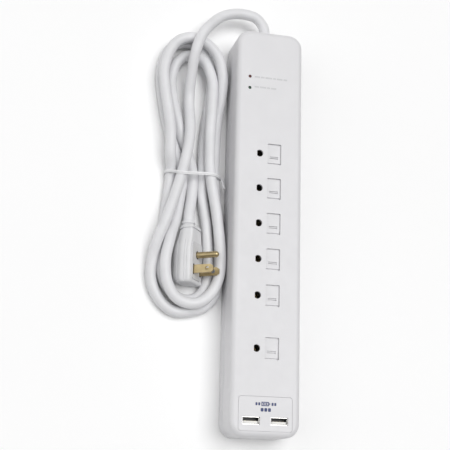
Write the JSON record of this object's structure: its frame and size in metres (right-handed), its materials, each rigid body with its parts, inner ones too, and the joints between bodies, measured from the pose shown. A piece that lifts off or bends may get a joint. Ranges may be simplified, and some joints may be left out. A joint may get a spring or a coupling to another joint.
{
  "type": "power strip",
  "caption": "Long flat mains power strip with a row of shuttered outlets, two USB ports, pilot lights and a tied cord with a flat right-angle plug.",
  "frame": {"origin": "middle of the strip's back, on the surface it lies on", "axes": "+Z out of the face with the outlets, +Y along the strip towards the cord end, +X to the right seen from the front"},
  "size_m": [0.115, 0.345, 0.0342],
  "materials": {
    "case_plastic": "satin white moulded plastic",
    "panel_plastic": "satin white moulded plastic",
    "shutter_plastic": "satin white moulded plastic",
    "receptacle_plastic": "matt dark moulded plastic",
    "brass": "bare drawn brass",
    "circuit_board": "green solder mask",
    "varistor_coating": "dipped blue epoxy",
    "fuse_ceramic": "cream body with tinned leads",
    "capacitor_case": "yellow potted case",
    "transformer_tape": "yellow winding tape",
    "nickel_shell": "nickel-plated sheet",
    "port_plastic": "cream moulded plastic",
    "red_lens": "unlit dark red lens",
    "green_lens": "unlit dark green lens",
    "black_insulation": "vinyl insulation",
    "white_insulation": "vinyl insulation",
    "green_insulation": "vinyl insulation",
    "clamp_plastic": "natural nylon",
    "screw_steel": "zinc-plated steel",
    "cord_vinyl": "white vinyl jacket, slight sheen",
    "tie_plastic": "white plastic-covered twist tie",
    "plug_vinyl": "white moulded vinyl",
    "plug_face_plastic": "white moulded plastic"
  },
  "bodies": {
    "housing": {"bottom_cover": "case_plastic", "top_cover": "case_plastic", "usb_panel": "panel_plastic", "receptacle_1": "receptacle_plastic", "receptacle_2": "receptacle_plastic", "receptacle_3": "receptacle_plastic", "receptacle_4": "receptacle_plastic", "receptacle_5": "receptacle_plastic", "receptacle_6": "receptacle_plastic", "line_bus_bar": "brass", "neutral_bus_bar": "brass", "ground_bus_bar": "brass", "surge_board": "circuit_board", "varistors": "varistor_coating", "thermal_fuse": "fuse_ceramic", "filter_capacitor": "capacitor_case", "usb_board": "circuit_board", "usb_transformer": "transformer_tape", "usb_shell_left": "nickel_shell", "usb_shell_right": "nickel_shell", "usb_tongue_left": "port_plastic", "usb_tongue_right": "port_plastic", "surge_light": "red_lens", "ground_light": "green_lens", "line_wire": "black_insulation", "neutral_wire": "white_insulation", "ground_wire": "green_insulation", "cable_clamp": "clamp_plastic", "case_screws": "screw_steel", "strain_relief": "cord_vinyl", "cord": "cord_vinyl", "cord_tie": "tie_plastic", "plug_body": "plug_vinyl", "plug_face": "plug_face_plastic", "plug_line_blade": "brass", "plug_neutral_blade": "brass", "plug_ground_pin": "brass"},
    "shutter_1": {"outlet_shutter_1": "shutter_plastic"},
    "shutter_2": {"outlet_shutter_2": "shutter_plastic"},
    "shutter_3": {"outlet_shutter_3": "shutter_plastic"},
    "shutter_4": {"outlet_shutter_4": "shutter_plastic"},
    "shutter_5": {"outlet_shutter_5": "shutter_plastic"},
    "shutter_6": {"outlet_shutter_6": "shutter_plastic"}
  },
  "joints": [
    {"name": "shutter_slide_1", "type": "slide", "parent": "housing", "child": "shutter_1", "axis": [1, 0, 0], "range_m": [0, 0.012]},
    {"name": "shutter_slide_2", "type": "slide", "parent": "housing", "child": "shutter_2", "axis": [1, 0, 0], "range_m": [0, 0.012]},
    {"name": "shutter_slide_3", "type": "slide", "parent": "housing", "child": "shutter_3", "axis": [1, 0, 0], "range_m": [0, 0.012]},
    {"name": "shutter_slide_4", "type": "slide", "parent": "housing", "child": "shutter_4", "axis": [1, 0, 0], "range_m": [0, 0.012]},
    {"name": "shutter_slide_5", "type": "slide", "parent": "housing", "child": "shutter_5", "axis": [1, 0, 0], "range_m": [0, 0.012]},
    {"name": "shutter_slide_6", "type": "slide", "parent": "housing", "child": "shutter_6", "axis": [1, 0, 0], "range_m": [0, 0.012]}
  ]
}
